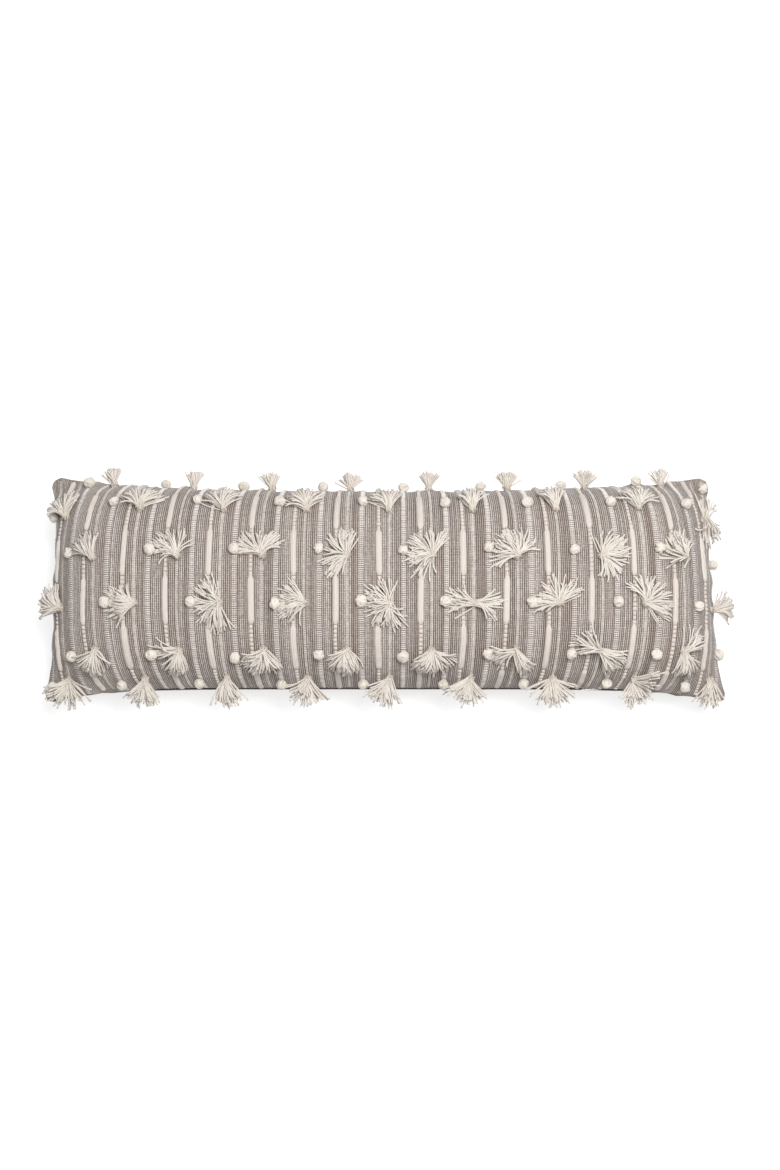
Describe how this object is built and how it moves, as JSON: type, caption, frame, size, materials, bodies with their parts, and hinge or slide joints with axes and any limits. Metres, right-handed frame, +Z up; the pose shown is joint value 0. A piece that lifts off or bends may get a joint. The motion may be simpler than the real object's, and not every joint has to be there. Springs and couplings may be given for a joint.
{
  "type": "throw pillow",
  "caption": "Long rectangular throw pillow: zipped cover over a filled insert, front woven with cream yarn stripes, ladder bands, round knots and cut-yarn tassels.",
  "frame": {"origin": "middle of the flat patch that the pillow rests on, on the rest plane", "axes": "+X along the length towards the closed end of the zip, +Y towards the long edge without the zip, +Z up through the decorated front"},
  "size_m": [0.9526, 0.3382, 0.1869],
  "materials": {
    "woven_front": "matte",
    "plain_back": "matte",
    "cotton_yarn": "matte",
    "cotton_roving": "matte",
    "tassel_cotton": "matte",
    "calico": "matte",
    "fibre_fill": "matte",
    "sewing_thread": "matte",
    "zip_tape": "matte",
    "zip_coil": "satin",
    "zip_metal": "satin"
  },
  "bodies": {
    "pillow": {"insert_fill": "fibre_fill", "insert_case_front": "calico", "insert_case_back": "calico", "insert_seam_thread": "calico", "front_panel": "woven_front", "back_panel": "plain_back", "edge_seam_thread": "sewing_thread", "zip_tape_upper": "zip_tape", "zip_tape_lower": "zip_tape", "zip_coil_upper": "zip_coil", "zip_coil_lower": "zip_coil", "zip_stitches_upper": "sewing_thread", "zip_stitches_lower": "sewing_thread", "zip_top_stops": "zip_metal", "zip_bottom_stop": "zip_metal", "thick_yarn_01": "cotton_yarn", "thick_yarn_02": "cotton_yarn", "thick_yarn_03": "cotton_yarn", "thick_yarn_04": "cotton_yarn", "thick_yarn_05": "cotton_yarn", "thick_yarn_06": "cotton_yarn", "thick_yarn_07": "cotton_yarn", "thick_yarn_08": "cotton_yarn", "thick_yarn_09": "cotton_yarn", "thick_yarn_10": "cotton_yarn", "thick_yarn_11": "cotton_yarn", "thick_yarn_12": "cotton_yarn", "thick_yarn_13": "cotton_yarn", "thick_yarn_14": "cotton_yarn", "thick_yarn_15": "cotton_yarn", "thick_yarn_16": "cotton_yarn", "thick_yarn_17": "cotton_yarn", "ladder_bands": "cotton_yarn", "dashed_bands": "cotton_yarn", "knots_row_1": "cotton_roving", "knots_row_2": "cotton_roving", "knots_row_3": "cotton_roving", "knots_row_4": "cotton_roving", "knots_row_5": "cotton_roving", "knots_row_6": "cotton_roving", "tassels_row_1": "tassel_cotton", "tassels_row_2": "tassel_cotton", "tassels_row_3": "tassel_cotton", "tassels_row_4": "tassel_cotton", "tassels_row_5": "tassel_cotton", "tassels_row_6": "tassel_cotton"},
    "slider": {"zip_slider": "zip_metal"},
    "pull": {"zip_pull": "zip_metal"}
  },
  "joints": [
    {"name": "zip_slide", "type": "slide", "parent": "pillow", "child": "slider", "axis": [-1, 0, 0], "range_m": [0, 0.586]},
    {"name": "pull_swing", "type": "hinge", "parent": "slider", "child": "pull", "pos_m": [0.302, -0.14286, 0.08068], "axis": [0, 0, 1], "range_deg": [0, 170]}
  ]
}
